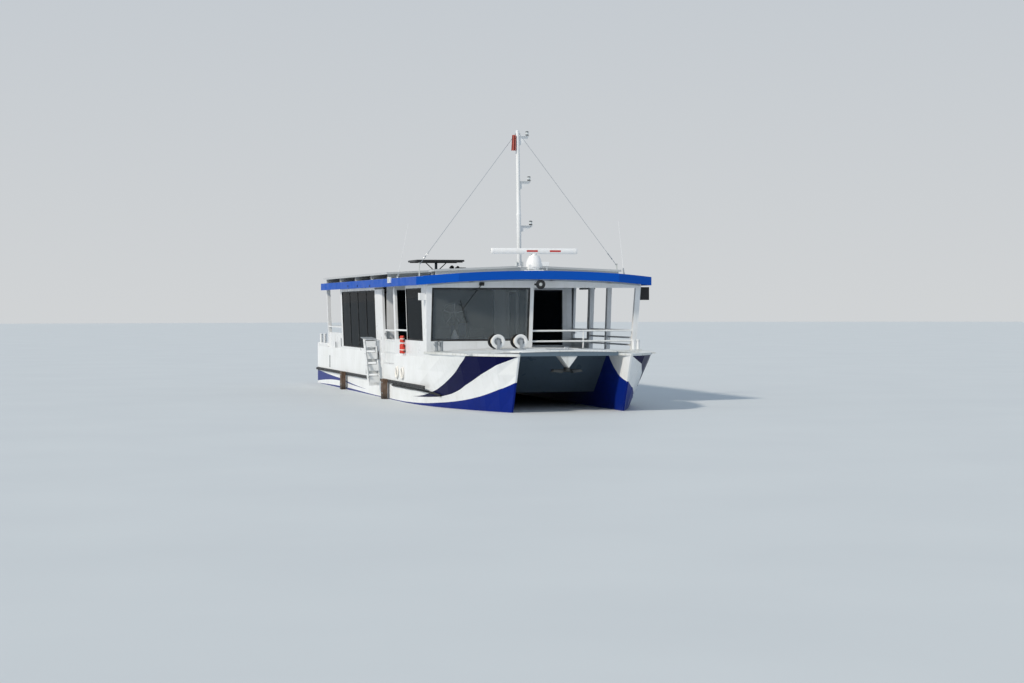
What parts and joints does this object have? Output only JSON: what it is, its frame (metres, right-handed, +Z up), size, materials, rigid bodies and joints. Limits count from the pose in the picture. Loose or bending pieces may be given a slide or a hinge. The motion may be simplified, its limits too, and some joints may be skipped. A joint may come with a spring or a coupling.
{
  "type": "passenger ferry",
  "caption": "Small solar-electric catamaran passenger ferry with a long cambered roof, a wheelhouse to starboard, a glazed saloon, an open bay and a folding mast.",
  "frame": {"origin": "on the centreline at the waterline, midway between the stems and the transoms", "axes": "+X forward, +Y to port, +Z up"},
  "size_m": [18.92, 5.865, 7.4719],
  "materials": {
    "hull_paint": "gloss white boat paint over a fair plate hull, with a dark blue bow sweep and boot top",
    "underwater_paint": "matt dark blue antifouling",
    "tunnel_paint": "dark grey paint",
    "house_paint": "gloss white paint",
    "deck_paint": "pale grey non-slip deck paint",
    "fascia_paint": "bright blue paint",
    "roof_paint": "pale grey paint",
    "black_rubber": "black moulded rubber",
    "timber": "weathered brown hardwood",
    "window_glass": "dark tinted glass",
    "door_glass": "tinted glass leaf in a slim dark frame",
    "rail_paint": "white painted tube",
    "steel": "brushed stainless steel",
    "lamp_chrome": "polished chrome",
    "galvanised": "dull hot-dip galvanised",
    "mast_paint": "white powder-coated aluminium",
    "radar_shell": "white moulded glass-fibre shell",
    "reel_plastic": "white moulded plastic",
    "solar_module": "dark solar cells under glass in pale aluminium frames",
    "seat_fabric": "dark blue upholstery",
    "console_laminate": "matt dark grey laminate",
    "bronze": "cast propeller bronze"
  },
  "bodies": {
    "ferry": {"hull_starboard": "hull_paint", "hull_port": "hull_paint", "bow_starboard": "hull_paint", "bow_port": "hull_paint", "stern_bulwark": "hull_paint", "stern_bollard_starboard": "galvanised", "stern_bollard_port": "galvanised", "bridge_deck": "tunnel_paint", "bow_panel": "tunnel_paint", "foredeck": "deck_paint", "anchor": "galvanised", "strake_starboard": "black_rubber", "strake_port": "black_rubber", "fender_timber_starboard_1": "timber", "fender_timber_starboard_2": "timber", "fender_timber_port_1": "timber", "fender_timber_port_2": "timber", "half_wall": "house_paint", "aft_side_panel_starboard": "house_paint", "aft_side_panel_port": "house_paint", "front_frame": "house_paint", "windscreen": "window_glass", "front_rail": "rail_paint", "wheelhouse_side": "house_paint", "wheelhouse_side_window": "window_glass", "wheelhouse_inner_walls": "house_paint", "bay_side_port": "rail_paint", "saloon_side_starboard": "house_paint", "saloon_side_port": "house_paint", "saloon_window_starboard": "window_glass", "saloon_window_port": "window_glass", "saloon_front_wall": "house_paint", "saloon_aft_wall": "house_paint", "bench_starboard": "seat_fabric", "bench_port": "seat_fabric", "aft_frame": "rail_paint", "roof_panel": "roof_paint", "roof_fascia": "fascia_paint", "solar_array_aft": "solar_module", "solar_array_front": "solar_module", "raised_solar_panel": "solar_module", "radar_pedestal": "radar_shell", "reel_stands": "steel", "helm_console": "console_laminate", "helm_seat": "seat_fabric"},
    "propeller_starboard": {"propeller_starboard": "bronze"},
    "propeller_port": {"propeller_port": "bronze"},
    "rudder_starboard": {"rudder_starboard": "underwater_paint"},
    "rudder_port": {"rudder_port": "underwater_paint"},
    "radar": {"radar_scanner": "radar_shell"},
    "mast": {"mast": "mast_paint"},
    "searchlight": {"searchlight": "lamp_chrome"},
    "wheelhouse_door": {"wheelhouse_door": "house_paint"},
    "saloon_front_door": {"saloon_front_door": "door_glass"},
    "saloon_aft_door": {"saloon_aft_door": "door_glass"},
    "side_gate_starboard": {"side_gate_starboard": "rail_paint"},
    "side_gate_port": {"side_gate_port": "rail_paint"},
    "boarding_steps": {"boarding_steps": "rail_paint"},
    "rope_reel_1": {"rope_reel_1": "reel_plastic"},
    "rope_reel_2": {"rope_reel_2": "reel_plastic"}
  },
  "joints": [
    {"name": "propeller_starboard_spin", "type": "hinge", "parent": "ferry", "child": "propeller_starboard", "pos_m": [-8.14, -1.9, -0.52], "axis": [1, 0, 0], "continuous": true},
    {"name": "propeller_port_spin", "type": "hinge", "parent": "ferry", "child": "propeller_port", "pos_m": [-8.14, 1.9, -0.52], "axis": [1, 0, 0], "continuous": true},
    {"name": "rudder_starboard_turn", "type": "hinge", "parent": "ferry", "child": "rudder_starboard", "pos_m": [-8.75, -1.9, -0.5], "axis": [0, 0, 1], "range_deg": [-35, 35]},
    {"name": "rudder_port_turn", "type": "hinge", "parent": "ferry", "child": "rudder_port", "pos_m": [-8.75, 1.9, -0.5], "axis": [0, 0, 1], "range_deg": [-35, 35]},
    {"name": "radar_spin", "type": "hinge", "parent": "ferry", "child": "radar", "pos_m": [6.1, 0, 3.56], "axis": [0, 0, 1], "continuous": true},
    {"name": "mast_lower", "type": "hinge", "parent": "ferry", "child": "mast", "pos_m": [4.8, 0, 3.38], "axis": [0, -1, 0], "range_deg": [0, 72]},
    {"name": "searchlight_swivel", "type": "hinge", "parent": "ferry", "child": "searchlight", "pos_m": [6.485, 0.03, 2.9], "axis": [0, 0, 1], "range_deg": [-90, 90]},
    {"name": "wheelhouse_door_swing", "type": "hinge", "parent": "ferry", "child": "wheelhouse_door", "pos_m": [4.8537, -0.04, 1.8], "axis": [0, 0, -1], "range_deg": [0, 100]},
    {"name": "saloon_front_door_slide", "type": "slide", "parent": "ferry", "child": "saloon_front_door", "axis": [0, 1, 0], "range_m": [0, 0.92]},
    {"name": "saloon_aft_door_slide", "type": "slide", "parent": "ferry", "child": "saloon_aft_door", "axis": [0, 1, 0], "range_m": [0, 0.92]},
    {"name": "side_gate_starboard_swing", "type": "hinge", "parent": "ferry", "child": "side_gate_starboard", "pos_m": [2.3247, -2.535, 1.3], "axis": [0, 0, -1], "range_deg": [0, 90]},
    {"name": "side_gate_port_swing", "type": "hinge", "parent": "ferry", "child": "side_gate_port", "pos_m": [2.3247, 2.535, 1.3], "axis": [0, 0, 1], "range_deg": [0, 90]},
    {"name": "boarding_steps_swing", "type": "hinge", "parent": "ferry", "child": "boarding_steps", "pos_m": [0.26, -2.65, 1.505], "axis": [-1, 0, 0], "range_deg": [0, 80]},
    {"name": "rope_reel_1_turn", "type": "hinge", "parent": "ferry", "child": "rope_reel_1", "pos_m": [7, -1.16, 1.545], "axis": [1, 0, 0], "continuous": true},
    {"name": "rope_reel_2_turn", "type": "hinge", "parent": "ferry", "child": "rope_reel_2", "pos_m": [7, -0.62, 1.545], "axis": [1, 0, 0], "continuous": true}
  ],
  "couplings": [
    {"joint": "rudder_port_turn", "follows": "rudder_starboard_turn", "ratio": 1}
  ]
}
